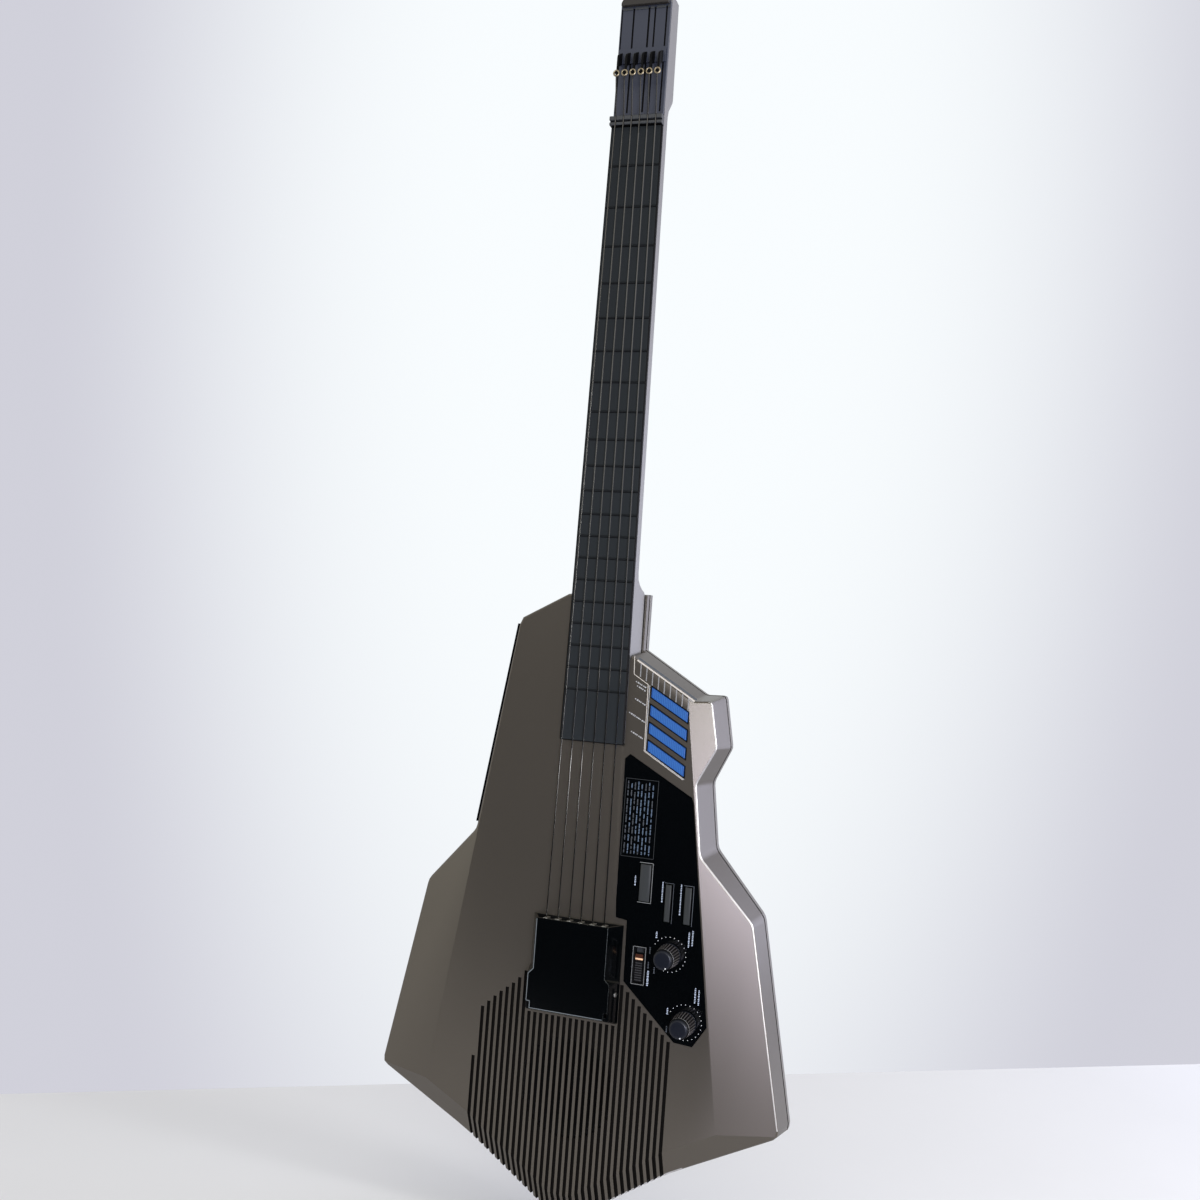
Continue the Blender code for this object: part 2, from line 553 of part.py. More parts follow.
# ------------------------------------------------------------------- speaker
sx, sz = SPEAKER
turned("speaker_frame", (sx, 30.5, sz), "-Y",
       [(46, 23.3), (46, 21.5), (41, 21.5), (24, 3.5), (24, 0), (14, 0), (14, 2), (21.5, 2), (39.5, 21.8), (40, 23.3)], MATTE,
       steps=24, closed=True)
turned("speaker_cone", (sx, 30.5, sz), "-Y",
       [(0, 9.5), (7, 7.5), (12, 4.5), (38, 22.9), (39.2, 22.9), (12.4, 3.2), (6, 6.6), (0, 8.3)], PAPER, steps=24)
turned("speaker_magnet", (sx, 41.0, sz), "-Y", [(0, 10.2), (22, 10.2), (22, 0), (0, 0)], FERRITE, steps=24)

# ------------------------------------------------------- electronics, battery
boxes("main_board", [((18, 90), (36, 37.6), (-735, -600))], BOARD)
case = boxes("battery_case", [((-84, 12), (18, 53.0), (-718, -596))], MATTE)
boolean(case, boxes("battery_bay", [((-82, 10), (20, 60), (-716, -598))], cutter=True))
boxes("battery_door", [((DOOR[0], DOOR[1]), (54.2, 56.8), (DOOR[2], DOOR[3]))], GREY,
      origin=(DOOR[1] - 1.4, 55.5, (DOOR[2] + DOOR[3]) / 2))
for i, z in enumerate((-617.0, -657.0, -697.0)):
    turned(f"battery_contact_{i + 1}", (9.5, 36, z), "-X", [(0, 7), (3, 7), (9, 0), (0, 0)], STEEL, steps=12)

# ------------------------------------------------------------------- sockets
rings = []
for y in (6.0, 36.8):
    top, bot = -417.6, -584.6
    rings.append([(wall_x(top, y, 0.35), y, top), (wall_x(top, y, 2.3), y, top),
                  (wall_x(bot, y, 2.3), y, bot), (wall_x(bot, y, 0.35), y, bot)])
jp = loft("jack_panel", rings, GLOSS)
boolean(jp, socket_cut)
for nm, (z, r, bore) in SOCKETS.items():
    x0 = wall_x(z, SOCKET_Y, 2.8)
    turned(nm, (x0 + 22, SOCKET_Y, z), "-X",
           [(0, 4), (bore, 4), (bore, 22), (r, 22), (r, 0), (0, 0)], MATTE, steps=20)

# ------------------------------------------------------------- strap buttons
STRAP = [(0, 11), (6.2, 11), (6.6, 9.8), (6.2, 8.6), (3.4, 7.4), (3.4, 3.2), (6.4, 1.2), (6.8, 0), (0, 0)]
turned("strap_button_tail", (0, 25, -893.8), "-Z", STRAP, STEEL, steps=16)
turned("strap_button_heel", (0, 57.3, -408), "+Y", STRAP, STEEL, steps=16)
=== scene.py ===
import math
import bpy
import bmesh
from mathutils import Vector, Matrix


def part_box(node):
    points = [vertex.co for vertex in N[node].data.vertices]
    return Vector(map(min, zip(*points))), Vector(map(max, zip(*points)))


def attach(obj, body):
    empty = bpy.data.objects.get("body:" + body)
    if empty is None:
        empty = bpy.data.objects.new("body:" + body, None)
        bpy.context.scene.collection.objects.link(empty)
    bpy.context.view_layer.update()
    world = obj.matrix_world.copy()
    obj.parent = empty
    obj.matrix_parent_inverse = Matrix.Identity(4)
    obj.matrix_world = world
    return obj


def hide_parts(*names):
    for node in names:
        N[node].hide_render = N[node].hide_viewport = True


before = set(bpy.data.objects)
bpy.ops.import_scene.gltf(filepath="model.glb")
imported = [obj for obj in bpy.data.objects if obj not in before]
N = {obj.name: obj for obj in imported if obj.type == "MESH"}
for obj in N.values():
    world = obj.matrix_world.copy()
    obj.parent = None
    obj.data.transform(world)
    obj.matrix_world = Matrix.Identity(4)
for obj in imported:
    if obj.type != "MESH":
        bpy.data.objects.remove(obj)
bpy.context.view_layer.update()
OX, OY, OZ = 0.0, -24.0, 280.0
MM = 0.001


def P(x, y, z):
    return Vector(((x + OX) * MM, (y + OY) * MM, (z + OZ) * MM))


# ------------------------------------------------------------------ materials
def new_mat(name):
    m = bpy.data.materials.new(name)
    m.use_nodes = True
    nt = m.node_tree
    return m, nt, nt.nodes["Principled BSDF"]


def plastic(name, colour, rough=0.45, metal=0.0, vary=0.10, grain=900.0, bump=0.03, rough_var=0.08, coat=0.0, spec=0.5,
            mottle=6.0):
    """Moulded or painted surface: slow colour drift, fine grain in roughness and bump."""
    m, nt, b = new_mat(name)
    L = nt.links.new
    tc = nt.nodes.new("ShaderNodeTexCoord")
    big = nt.nodes.new("ShaderNodeTexNoise")
    big.inputs["Scale"].default_value = mottle
    big.inputs["Detail"].default_value = 3
    fine = nt.nodes.new("ShaderNodeTexNoise")
    fine.inputs["Scale"].default_value = grain
    fine.inputs["Detail"].default_value = 4
    L(tc.outputs["Object"], big.inputs["Vector"])
    L(tc.outputs["Object"], fine.inputs["Vector"])
    ramp = nt.nodes.new("ShaderNodeMix")
    ramp.data_type = "RGBA"
    lo = [c * (1 - vary) for c in colour]
    hi = [min(1, c * (1 + vary)) for c in colour]
    ramp.inputs["A"].default_value = (*lo, 1)
    ramp.inputs["B"].default_value = (*hi, 1)
    mix = nt.nodes.new("ShaderNodeMath")
    mix.operation = "MULTIPLY_ADD"
    L(fine.outputs["Fac"], mix.inputs[0])
    mix.inputs[1].default_value = 0.35
    L(big.outputs["Fac"], mix.inputs[2])
    L(mix.outputs[0], ramp.inputs["Factor"])
    L(ramp.outputs["Result"], b.inputs["Base Color"])
    r = nt.nodes.new("ShaderNodeMapRange")
    r.inputs["To Min"].default_value = max(0.02, rough - rough_var)
    r.inputs["To Max"].default_value = rough + rough_var
    L(fine.outputs["Fac"], r.inputs["Value"])
    L(r.outputs["Result"], b.inputs["Roughness"])
    bp = nt.nodes.new("ShaderNodeBump")
    bp.inputs["Strength"].default_value = bump
    bp.inputs["Distance"].default_value = 0.0004
    L(fine.outputs["Fac"], bp.inputs["Height"])
    L(bp.outputs["Normal"], b.inputs["Normal"])
    b.inputs["Metallic"].default_value = metal
    b.inputs["Specular IOR Level"].default_value = spec
    b.inputs["Coat Weight"].default_value = coat
    b.inputs["Coat Roughness"].default_value = 0.12
    return m


def brushed(name, colour, rough=0.3, scale=(2.0, 2.0, 400.0), vary=0.15):
    m, nt, b = new_mat(name)
    L = nt.links.new
    tc = nt.nodes.new("ShaderNodeTexCoord")
    mp = nt.nodes.new("ShaderNodeMapping")
    mp.inputs["Scale"].default_value = scale
    nz = nt.nodes.new("ShaderNodeTexNoise")
    nz.inputs["Scale"].default_value = 12
    L(tc.outputs["Object"], mp.inputs["Vector"])
    L(mp.outputs["Vector"], nz.inputs["Vector"])
    mx = nt.nodes.new("ShaderNodeMix")
    mx.data_type = "RGBA"
    mx.inputs["A"].default_value = (*[c * (1 - vary) for c in colour], 1)
    mx.inputs["B"].default_value = (*[min(1, c * (1 + vary)) for c in colour], 1)
    L(nz.outputs["Fac"], mx.inputs["Factor"])
    L(mx.outputs["Result"], b.inputs["Base Color"])
    r = nt.nodes.new("ShaderNodeMapRange")
    r.inputs["To Min"].default_value = rough - 0.08
    r.inputs["To Max"].default_value = rough + 0.12
    L(nz.outputs["Fac"], r.inputs["Value"])
    L(r.outputs["Result"], b.inputs["Roughness"])
    b.inputs["Metallic"].default_value = 1.0
    return m


BODY = plastic("body_grey_paint", (0.112, 0.099, 0.0835), 0.34, 0.75, 0.07, 1400, 0.04, 0.04)
RIDGE_HIGHLIGHT = plastic("ridge_painted_highlight", (0.54, 0.525, 0.53), 0.34, 0.8, 0.06, 1200, 0.03, 0.04)
REAR = plastic("rear_grey_paint", (0.190, 0.178, 0.164), 0.40, 0.7, 0.07, 1200, 0.04, 0.04)
NECK = plastic("neck_light_grey", (0.210, 0.205, 0.212), 0.44, 0.10, 0.05, 1100, 0.03)
RUBBER = plastic("fingerboard_rubber", (0.0150, 0.0180, 0.0206), 0.60, 0.0, 0.16, 1600, 0.10, spec=0.16)
CREST_SHADE = plastic("rib_crest_painted_shade", (0.0080, 0.0092, 0.0105), 0.60, 0.0, 0.2, 1200, 0.05, spec=0.10)
# black for parts moulded black, and also used as painted shade in gaps, grooves and along edges
BLACK_AND_SHADE = plastic("black_and_painted_shade", (0.0025, 0.0025, 0.003), 0.55, 0.0, 0.2, 1500, 0.05, spec=0.10)
GLOSS = plastic("gloss_black_plastic", (0.0006, 0.0010, 0.0014), 0.14, 0.0, 0.20, 500, 0.01, 0.04, coat=0.0, spec=0.42)
HEADC = plastic("head_satin_grey", (0.033, 0.038, 0.058), 0.36, 0.0, 0.12, 900, 0.03, 0.05)
HEADT = plastic("head_bar_brown_black", (0.022, 0.019, 0.017), 0.42, 0.0, 0.15, 900, 0.04, 0.05)
MATTE = plastic("matte_black_plastic", (0.018, 0.018, 0.020), 0.5, 0.0, 0.2, 1200, 0.08)
KNOB = plastic("knob_black", (0.0045, 0.0060, 0.0110), 0.32, 0.0, 0.2, 1200, 0.04, 0.05, spec=0.30)
FLUTE_HIGHLIGHT = plastic("knob_flute_painted_highlight", (0.050, 0.045, 0.046), 0.30, 0.0, 0.2, 1200, 0.04, 0.05)
RIM_HIGHLIGHT = plastic("knob_rim_painted_highlight", (0.86, 0.87, 0.90), 0.20, 0.7, 0.1, 1200, 0.02, 0.05)
BLUE = plastic("pad_blue_plastic", (0.011, 0.078, 0.300), 0.40, 0.0, 0.12, 1200, 0.05)
RIB_HIGHLIGHT = plastic("pad_rib_painted_highlight", (0.026, 0.130, 0.385), 0.40, 0.0, 0.12, 1200, 0.05)
KEY = plastic("key_grey_plastic", (0.027, 0.030, 0.032), 0.50, 0.0, 0.12, 1000, 0.05, spec=0.35)
NUT = plastic("nut_black", (0.040, 0.043, 0.048), 0.38, 0.0, 0.15, 1000, 0.06)
ORANGE = plastic("orange_mark", (0.98, 0.60, 0.36), 0.4, 0.0, 0.05, 900, 0.03)
BROWN = plastic("orange_dark", (0.050, 0.012, 0.004), 0.5, 0.0, 0.05, 900, 0.03, spec=0.2)
WHITE = plastic("print_white", (0.60, 0.61, 0.62), 0.5, 0.0, 0.06, 1500, 0.01)
CREAM = plastic("print_cream", (0.62, 0.57, 0.51), 0.5, 0.0, 0.06, 1500, 0.01)
LABEL = plastic("print_blue_white", (0.50, 0.57, 0.70), 0.5, 0.0, 0.06, 1500, 0.01)
DIM = plastic("dim_print_and_painted_light", (0.075, 0.085, 0.100), 0.5, 0.0, 0.06, 1500, 0.01)
LEGEND = plastic("print_light_grey", (0.42, 0.42, 0.43), 0.5, 0.0, 0.08, 1500, 0.01)
OUTLINE = plastic("outline_grey", (0.200, 0.205, 0.205), 0.4, 0.0, 0.06, 1500, 0.01)
COVER_LINE_HIGHLIGHT = plastic("cover_line_painted_highlight", (0.150, 0.168, 0.178), 0.3, 0.0, 0.08, 1200, 0.02)
COVER_EDGE_HIGHLIGHT = plastic("cover_edge_painted_highlight", (0.30, 0.335, 0.355), 0.28, 0.9, 0.08, 1200, 0.02)
FAINT = plastic("print_grey", (0.245, 0.245, 0.250), 0.5, 0.0, 0.08, 1500, 0.01)
PALEBLUE = plastic("print_pale_blue", (0.13, 0.185, 0.27), 0.5, 0.0, 0.06, 1500, 0.01)
BOARD = plastic("board_green", (0.03, 0.12, 0.06), 0.45, 0.0, 0.2, 600, 0.08)
PAPER = plastic("cone_paper", (0.006, 0.006, 0.006), 0.85, 0.0, 0.3, 700, 0.3, spec=0.1)
FERRITE = plastic("ferrite", (0.05, 0.05, 0.052), 0.6, 0.1, 0.2, 900, 0.2)
STEEL = brushed("bright_steel", (0.60, 0.60, 0.59), 0.3)
POST_GLINT = brushed("post_painted_glint", (0.93, 0.93, 0.93), 0.45)
GRILLE = plastic("speaker_black", (0.004, 0.004, 0.004), 0.8, 0.0, 0.2, 900, 0.1, spec=0.1)
STRING = plastic("string_nylon", (0.165, 0.162, 0.161), 0.16, 1.0, 0.10, 1500, 0.02, 0.04)
STRING.node_tree.nodes["Principled BSDF"].inputs["Specular Tint"].default_value = (0.0, 0.0, 0.0, 1)
SEAM_SHADOW = plastic("seam_shadow", (0.006, 0.0055, 0.005), 0.7, 0.0, 0.15, 1400, 0.05, spec=0.10)
BRASS = brushed("ring_brass", (0.40, 0.335, 0.23), 0.34, vary=0.3)
ALU = brushed("satin_aluminium", (0.60, 0.61, 0.62), 0.38)

ASSIGN = {"front_shell": BODY, "rear_shell": REAR, "battery_door": REAR, "neck_shell": NECK, "fingerboard": RUBBER,
          "head_cover": HEADC, "head_top_bar": HEADT, "bridge_base": BLACK_AND_SHADE, "bridge_cover": GLOSS, "control_panel": GLOSS, "jack_panel": GLOSS,
          "nut": NUT, "string_hook_plate": MATTE, "power_switch_body": MATTE, "power_slider": BLACK_AND_SHADE,
          "main_volume_knob": KNOB, "rhythm_volume_knob": KNOB, "battery_case": MATTE, "line_out_jack": MATTE,
          "midi_out_socket": MATTE, "dc_inlet": MATTE, "speaker_frame": GRILLE, "pad_1": BLUE, "pad_2": BLUE,
          "pad_3": BLUE, "pad_4": BLUE, "mute_button": KEY, "rhythm_start_button": KEY, "fill_in_button": KEY,
          "neck_switch_board": BOARD, "control_board": BOARD, "pad_board": BOARD, "main_board": BOARD,
          "speaker_cone": PAPER, "speaker_magnet": FERRITE, "neck_core": ALU, "string_anchor_bar": STEEL,
          "main_volume_pot": ALU, "rhythm_volume_pot": ALU}
for name, ob in N.items():
    m = ASSIGN.get(name) or (STRING if name.startswith("string_") else STEEL)
    ob.data.materials.clear()
    ob.data.materials.append(m)


# ---------------------------------------------------------------- piece tools
def obj_from(bm, name, material, body="guitar", smooth=None, recalc=True):
    if recalc:
        bmesh.ops.recalc_face_normals(bm, faces=bm.faces)
    me = bpy.data.meshes.new(name)
    bm.to_mesh(me)
    bm.free()
    ob = bpy.data.objects.new(name, me)
    bpy.context.scene.collection.objects.link(ob)
    if material:
        me.materials.append(material)
    if smooth:
        me.shade_smooth()
        me.set_sharp_from_angle(angle=math.radians(smooth))
    if body:
        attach(ob, body)
    return ob


def add_prism(bm, pts, y0, y1):
    """Prism along Y from a closed X, Z outline."""
    a = [bm.verts.new(P(x, y0, z)) for x, z in pts]
    b = [bm.verts.new(P(x, y1, z)) for x, z in pts]
    n = len(pts)
    bm.faces.new(a)
    bm.faces.new(list(reversed(b)))
    for i in range(n):
        bm.faces.new((a[i], b[i], b[(i + 1) % n], a[(i + 1) % n]))


def line_poly(p, q, w):
    p, q = Vector(p), Vector(q)
    d = (q - p).normalized()
    n = Vector((-d.y, d.x)) * w / 2
    return [tuple(p + n), tuple(q + n), tuple(q - n), tuple(p - n)]


def prints(name, lines, y, thick=0.12, material=WHITE, body="guitar"):
    bm = bmesh.new()
    for p, q, w in lines:
        add_prism(bm, line_poly(p, q, w), y - thick, y - 0.02)
    return obj_from(bm, name, material, body)


def shade(me, sharp, flat_area=180.0):
    """Smooth shading inside roundings and arcs; creases between large faces stay crisp."""
    bm = bmesh.new()
    bm.from_mesh(me)
    for f in bm.faces:
        f.smooth = True
    for e in bm.edges:
        if len(e.link_faces) != 2:
            e.smooth = False
            continue
        ang = math.degrees(e.calc_face_angle(0.0))
        small = min(f.calc_area() for f in e.link_faces) / MM ** 2
        e.smooth = not (ang > sharp or (small > flat_area and ang > 1.0))
    bm.to_mesh(me)
    bm.free()


def baked(ob, *keep):
    """Apply the modifiers of a new piece to its mesh."""
    bpy.context.view_layer.update()
    dg = bpy.context.evaluated_depsgraph_get()
    me = bpy.data.meshes.new_from_object(ob.evaluated_get(dg))
    ob.modifiers.clear()
    ob.data = me
    return me


def refined(node, width, seg=2, angle=28, material=None, body="guitar", groove=None, sharp=35, ridge=None,
            flat_area=180.0, extra=None):
    """Copy of a CAD node with its edges rounded, standing for that node."""
    src = N[node]
    bm = bmesh.new()
    bm.from_mesh(src.data)
    bmesh.ops.remove_doubles(bm, verts=bm.verts, dist=1e-6)
    bmesh.ops.dissolve_limit(bm, angle_limit=0.01, verts=bm.verts, edges=bm.edges)
    if ridge is not None:
        test, rw, rseg = ridge
        picked = [e for e in bm.edges if len(e.link_faces) == 2 and test(e)]
        bmesh.ops.bevel(bm, geom=picked, offset=rw * MM, offset_type="OFFSET", segments=rseg, profile=0.5,
                        affect="EDGES", clamp_overlap=False)
    ob = obj_from(bm, node + "_finish", material or src.data.materials[0], body)
    if width:
        bv = ob.modifiers.new("edges", "BEVEL")
        bv.width = width * MM
        bv.segments = seg
        bv.limit_method = "ANGLE"
        bv.angle_limit = math.radians(angle)
        bv.use_clamp_overlap = True
        baked(ob)
    if groove is not None:
        g = ob.modifiers.new("grooves", "BOOLEAN")
        g.object = groove
        g.operation = "DIFFERENCE"
        g.solver = "EXACT"
        g.material_mode = "TRANSFER"
        baked(ob)
    shade(ob.data, sharp, flat_area)
    wn = ob.modifiers.new("normals", "WEIGHTED_NORMAL")
    wn.mode = "FACE_AREA"
    wn.weight = 100
    wn.keep_sharp = True
    baked(ob)
    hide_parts(node)
    return ob


def paint(ob, material, test):
    """Give the faces for which test(centre in drawing mm, normal) is true another material."""
    me = ob.data
    if material.name not in [m.name for m in me.materials]:
        me.materials.append(material)
    k = [m.name for m in me.materials].index(material.name)
    mw = ob.matrix_world
    for f in me.polygons:
        c = mw @ f.center
        q = (c.x / MM - OX, c.y / MM - OY, c.z / MM - OZ)
        if test(q, f.normal):
            f.material_index = k


# ------------------------------------------------------- grooves of the grille
def z42(x):
    return -894.5 + max(0.0, abs(x) - 14) * (48.7 / 73.5)


def z_crease(x):
    return -872.2 + max(0.0, abs(x) - 8.5) * (51.7 / 79.5)


def z_top(x):
    if abs(x) < 39.5:
        return -732.0
    if x > 0:
        return -700.0 - 0.923 * (x - 41.3)
    pts = [(-38, -697), (-41.5, -699.5), (-49.7, -709.5), (-63.6, -720.6), (-79.5, -736), (-87, -820)]
    for (xa, za), (xb, zb) in zip(pts[:-1], pts[1:]):
        if xb <= x <= xa:
            return za + (zb - za) * (x - xa) / (xb - xa)
    return -820.0


bm = bmesh.new()
for i in range(-16, 17):
    x = -0.8 + i * 5.14
    zt, zc = z_top(x), z_crease(x)
    zr = z42(x) + 6.2
    slope = 0.503 if abs(x) > 8.5 else 0.6
    yr = 4.8 + slope * (zc - zr)
    prof = [(-5, zt), (4.7, zt), (4.8, zc), (yr, zr), (20, z42(x) + 5.3), (20, z42(x) - 12), (-5, z42(x) - 12)]
    a = [bm.verts.new(P(x - 1.42, y, z)) for y, z in prof]
    b = [bm.verts.new(P(x + 1.42, y, z)) for y, z in prof]
    n = len(prof)
    bm.faces.new(a)
    bm.faces.new(list(reversed(b)))
    for k in range(n):
        bm.faces.new((a[k], b[k], b[(k + 1) % n], a[(k + 1) % n]))
SLOT = plastic("groove_shadow", (0.0040, 0.0034, 0.0028), 0.7, 0.0, 0.15, 1400, 0.05, spec=0.06)
groove = obj_from(bm, "groove_cutter", SLOT, None)


def is_ridge(e):
    """Edge between a facet or the flat face and the outer wall."""
    n = sorted(f.normal.y for f in e.link_faces)
    y = max(v.co.y for v in e.verts) / MM - OY
    return n[0] < -0.8 and -0.3 < n[1] < -0.05 and y < 30 and e.calc_face_angle(0.0) > math.radians(30)


shell = refined("front_shell", 0.35, 2, 20, BODY, groove=groove, sharp=21, ridge=(is_ridge, 1.5, 5))
# painted shade: the seam recess and the walls of the pad windows get the near-black shadow colour
paint(shell, SEAM_SHADOW, lambda q, n: 39.85 < q[1] < 41.2)
paint(shell, SEAM_SHADOW, lambda q, n: 44.5 < q[0] < 81 and -526 < q[2] < -455 and 3.15 < q[1] < 10 and abs(n.y) < 0.5)
paint(shell, SLOT, lambda q, n: abs(q[0]) < 38 and -830 < q[2] < -747 and 3.9 < q[1] < 9)
# painted highlight: the right-facing faces of the rounded ridge get a brighter, glossier paint
paint(shell, RIDGE_HIGHLIGHT, lambda q, n: q[0] > 20 and q[1] < 14 and n.x > 0.25 and -0.85 < n.y < -0.45
      and abs(n.z) < 0.75 and (q[0] > 60 or q[2] < -470))
bpy.data.objects.remove(groove, do_unlink=True)

for node, w in (("head_top_bar", 0.7), ("jack_panel", 0.6)):
    refined(node, w)
cover = refined("bridge_cover", 0.6, 2)
# painted highlight: the bevel along the cover's front edge gets a lighter metallic paint
paint(cover, COVER_EDGE_HIGHLIGHT, lambda q, n: -13.95 < q[1] < -13.2 and -0.99 < n.y < -0.3 and q[2] < -652.4)
posts = refined("string_anchor_bar", 0.35)
# painted glint: the posts' top and front faces get a brighter steel than the rest
paint(posts, POST_GLINT, lambda q, n: q[1] < -5 and (n.z > 0.4 or n.y < -0.4))
switch = refined("power_switch_body", 0.3, material=BLACK_AND_SHADE)
paint(switch, KEY, lambda q, n: q[1] > 7.9 and 49.3 < q[0] < 56.7 and n.y < -0.9)
nut = refined("nut", 0.35, 3, sharp=40, flat_area=30.0)
# painted shade: the nut's recessed faces between its blocks are painted black
paint(nut, BLACK_AND_SHADE, lambda q, n: q[1] > -3.6 and abs(q[0]) < 22.2)
back = refined("rear_shell", 0.7, 3, 20, REAR, sharp=32)
# painted shade: the rear shell's ledge inside the seam recess is painted near-black
paint(back, SEAM_SHADOW, lambda q, n: q[1] < 41.35 and n.y < -0.9)
for node, w in (("pad_1", 0.45), ("pad_2", 0.45), ("pad_3", 0.45), ("pad_4", 0.45), ("battery_door", 0.5)):
    refined(node, w, body=node)


def crowned(node, sag, steps=10, side=0.9):
    """A key with a gently crowned face, its side walls painted black as shade in the gap around it."""
    lo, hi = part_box(node)
    x0, x1 = lo[0] / MM - OX, hi[0] / MM - OX
    y0, y1 = lo[1] / MM - OY, hi[1] / MM - OY
    z0, z1 = lo[2] / MM - OZ, hi[2] / MM - OZ
    bm = bmesh.new()
    rows = []
    for z, inset in ((z0, 0.35), (z0 + 0.35, 0.0), (z1 - 0.35, 0.0), (z1, 0.35)):
        row = []
        for k in range(steps + 1):
            t = k / steps
            end = 0.35 if k in (0, steps) else 0.0
            x = x0 + (x1 - x0) * t
            y = y0 + sag * (1 - t) ** 2 + max(end, inset)
            row.append(bm.verts.new(P(x, y, z)))
        rows.append(row)
    for a, b in zip(rows[:-1], rows[1:]):
        for k in range(steps):
            bm.faces.new((a[k], a[k + 1], b[k + 1], b[k]))
    rim = rows[0] + [r[-1] for r in rows[1:-1]] + rows[-1][::-1] + [r[0] for r in rows[1:-1]][::-1]
    deep = [bm.verts.new(Vector((v.co.x, P(0, y1, 0).y, v.co.z))) for v in rim]
    n = len(rim)
    for k in range(n):
        bm.faces.new((rim[k], rim[(k + 1) % n], deep[(k + 1) % n], deep[k]))
    bm.faces.new(deep)
    ob = obj_from(bm, node + "_finish", KEY, node, smooth=35)
    paint(ob, BLACK_AND_SHADE, lambda q, n: abs(n.y) < 0.5)
    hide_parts(node)


for node, sag in (("mute_button", 1.1), ("rhythm_start_button", 1.0), ("fill_in_button", 1.0)):
    crowned(node, sag)
for node in ("neck_shell", "speaker_frame", "speaker_cone"):
    N[node].data.shade_smooth()
    N[node].data.set_sharp_from_angle(angle=math.radians(28))
board = refined("fingerboard", 0.12, 1, 20, sharp=50, flat_area=30.0)
# painted shade: the fingerboard's side faces and its lower end face are painted black
paint(board, BLACK_AND_SHADE, lambda q, n: abs(n.x) > 0.3 or (q[1] > -0.6 and n.z < -0.3))
# painted shade: the tops of the fret ribs are painted darker than the board so the frets show as dark lines
paint(board, CREST_SHADE, lambda q, n: q[1] < -0.35 and n.y < -0.6 and n.z > -0.3)
hooks = refined("string_hook_plate", 0.25, 2, material=BLACK_AND_SHADE, sharp=40, flat_area=6.0)
paint(hooks, HEADC, lambda q, n: q[1] > -0.3)
# the head cover's lengthwise grooves, their walls painted black by the cutter's material as painted shade
bm = bmesh.new()
for x, hw in ((-20.1, 0.5), (-10.0, 0.75), (3.2, 0.8), (8.4, 0.7), (18.2, 0.7)):
    add_prism(bm, [(x - hw, 95.6), (x + hw, 95.6), (x + hw, 8.0), (x - hw, 8.0)], -1.0, 2.3)
hg = obj_from(bm, "head_groove_cutter", BLACK_AND_SHADE, None)
refined("head_cover", 0.35, 2, groove=hg)
bpy.data.objects.remove(hg, do_unlink=True)

# ------------------------------------------------------------ fluted knob caps
KNOBS = {"main": (77.4, -669.7, -64.0), "rhythm": (93.8, -720.2, -72.0)}
for nm, (kx, kz, ang) in KNOBS.items():
    bm = bmesh.new()
    seg, levels = 120, [(1.6, 9.2), (1.2, 9.45), (0.2, 9.4), (-14.6, 8.25), (-15.0, 8.28), (-15.38, 8.25), (-15.8, 7.4),
                        (-16.5, 7.2), (-16.7, 7.45), (-17.5, 7.35), (-18.05, 7.0), (-18.4, 6.3), (-18.48, 5.4)]
    ringv = []
    for li, (y, r) in enumerate(levels):
        ring = []
        for s in range(seg):
            t = 2 * math.pi * s / seg
            rr = r
            if 2 <= li <= 3:
                rr = r - (0.6 if s % 5 != 4 else 0.0)
            ring.append(bm.verts.new(P(kx + rr * math.cos(t), y, kz + rr * math.sin(t))))
        ringv.append(ring)
    for a, b in zip(ringv[:-1], ringv[1:]):
        for s in range(seg):
            bm.faces.new((a[s], a[(s + 1) % seg], b[(s + 1) % seg], b[s]))
    bm.faces.new(list(reversed(ringv[0])))
    bm.faces.new(ringv[-1])
    cap = obj_from(bm, f"{nm}_knob_cap", KNOB, f"{nm}_volume_knob", smooth=32)
    # painted shade and highlight: flute grooves and the recessed neck under the rim are black, flute ridges lighter
    # grey
    paint(cap, BLACK_AND_SHADE, lambda q, n: -14.6 < q[1] < 0.2 and math.hypot(q[0] - kx, q[2] - kz) < 8.4 or -16.6 < q[1] < -15.45)
    paint(cap, FLUTE_HIGHLIGHT, lambda q, n: -14.6 < q[1] < 0.2 and math.hypot(q[0] - kx, q[2] - kz) > 8.4)
    # painted highlight: the narrow band at the cap's rim gets a bright metallic paint
    paint(cap, RIM_HIGHLIGHT, lambda q, n: -15.38 < q[1] < -15.0)
    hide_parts(f"{nm}_volume_knob")
    # white index dot on the rim of the cap
    bm = bmesh.new()
    a = math.radians(ang)
    bmesh.ops.create_cone(bm, cap_ends=True, segments=16, radius1=0.62 * MM, radius2=0.5 * MM, depth=0.2 * MM,
                          matrix=Matrix.Translation(P(kx + 6.5 * math.cos(a), -18.4, kz + 6.5 * math.sin(a))) @ Matrix.Rotation(math.pi / 2, 4, "X"))
    obj_from(bm, f"{nm}_knob_dot", WHITE, f"{nm}_volume_knob")
    # dial dots over a 300 degree sweep
    bm = bmesh.new()
    for k in range(21):
        t = math.radians(150 - 15 * k)
        bmesh.ops.create_cone(bm, cap_ends=True, segments=10, radius1=0.34 * MM, radius2=0.34 * MM, depth=0.1 * MM,
                              matrix=Matrix.Translation(P(kx - 0.4 + 13.7 * math.cos(t), 2.72, kz + 0.2 + 13.7 * math.sin(t))) @ Matrix.Rotation(math.pi / 2, 4, "X"))
    obj_from(bm, f"{nm}_dial_dots", WHITE)

